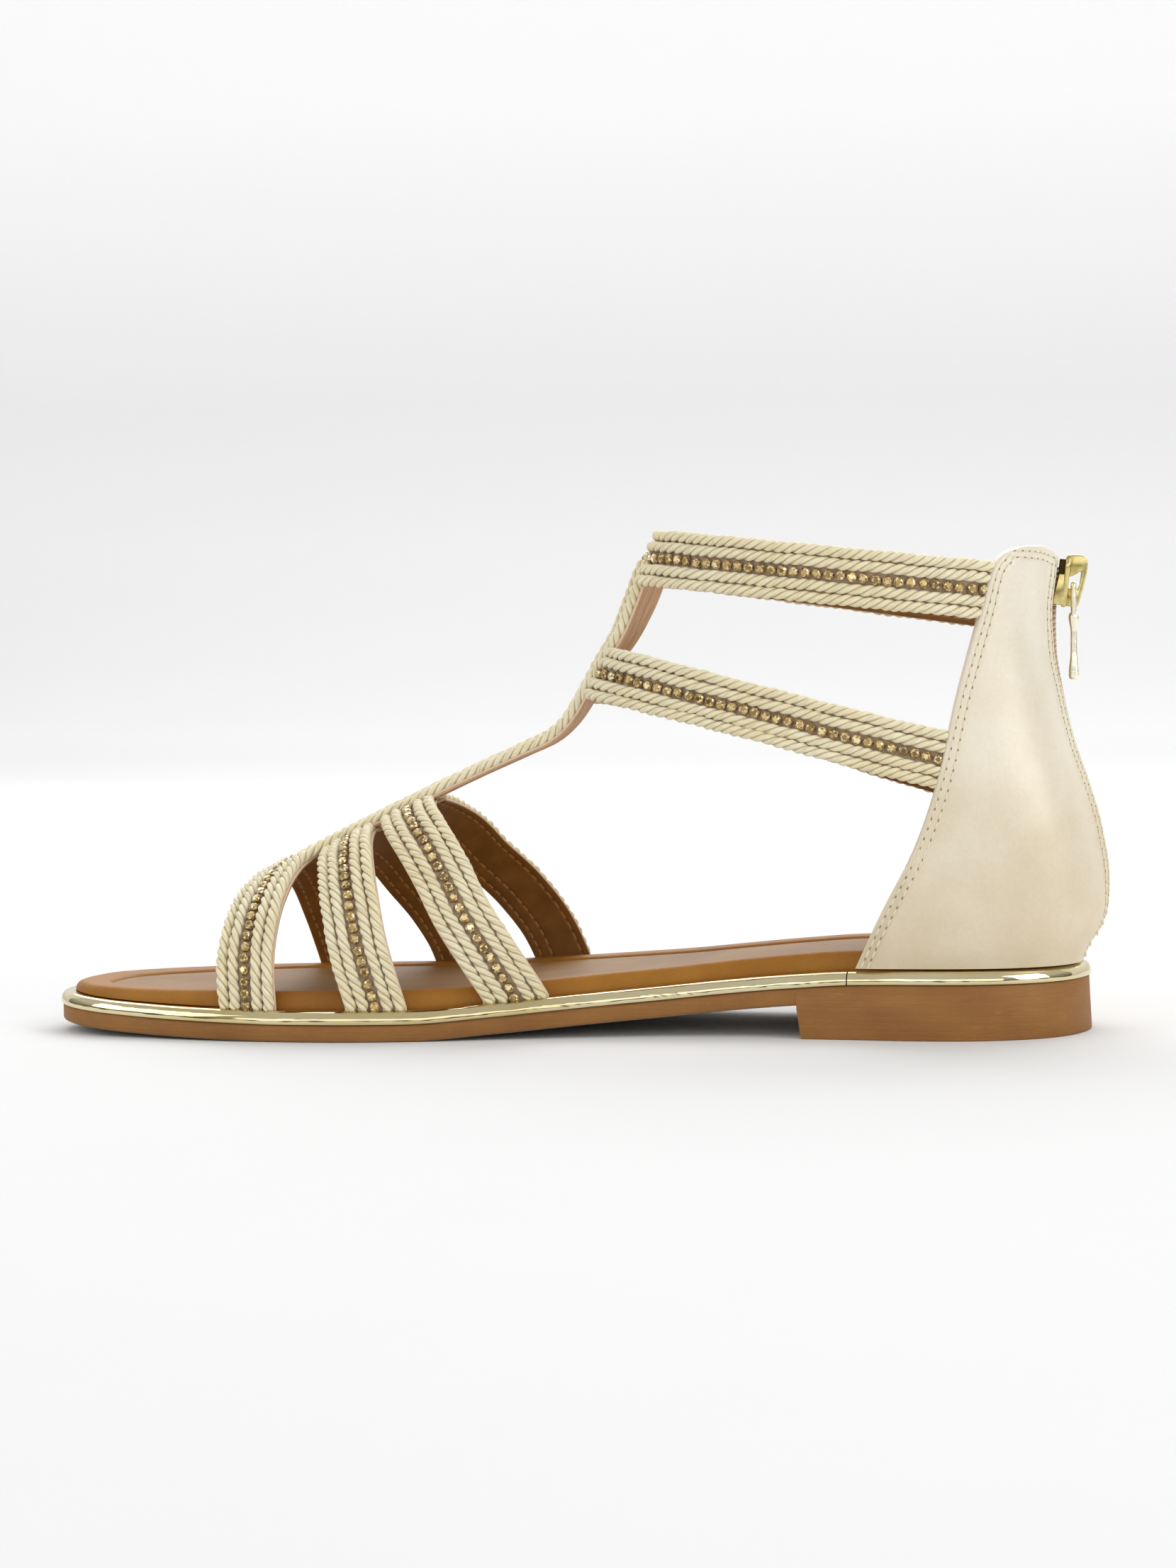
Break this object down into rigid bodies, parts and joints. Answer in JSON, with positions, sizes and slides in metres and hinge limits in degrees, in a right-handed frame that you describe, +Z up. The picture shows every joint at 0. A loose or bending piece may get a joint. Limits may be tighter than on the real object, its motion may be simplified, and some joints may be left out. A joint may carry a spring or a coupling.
{
  "type": "gladiator sandal",
  "caption": "Flat right-foot gladiator sandal with rope and stone straps joined to a T-bar, a closed heel counter and a back zip.",
  "frame": {"origin": "under the middle of the whole shoe, on the floor plane", "axes": "+X from the toe to the heel, +Y from the inner side of the foot to the outer side, +Z up"},
  "size_m": [0.2548, 0.0842, 0.1199],
  "materials": {
    "sole": "tan moulded sole unit, matt",
    "mirror": "pale gold mirror-bright rand",
    "pad": "tan, softly padded",
    "sock": "brown, satin",
    "rope": "pale cream-gold twisted cord",
    "counter": "pale champagne, faint metallic sheen",
    "tape": "beige woven zip tape",
    "brass": "polished, golden"
  },
  "bodies": {
    "sandal": {"outsole": "sole", "rand_fore": "mirror", "rand_heel": "mirror", "footbed": "pad", "sock": "sock", "strap_upper": "rope", "quarter_inner": "counter", "quarter_outer": "counter", "zip_tape": "tape", "zip_chain": "tape", "zip_slider": "brass"},
    "pull": {"zip_pull": "brass"}
  },
  "joints": [
    {"name": "zip_pull_swing", "type": "hinge", "parent": "sandal", "child": "pull", "pos_m": [0.11874, -0.0014, 0.10567], "axis": [0, -1, 0], "range_deg": [0, 130]}
  ]
}
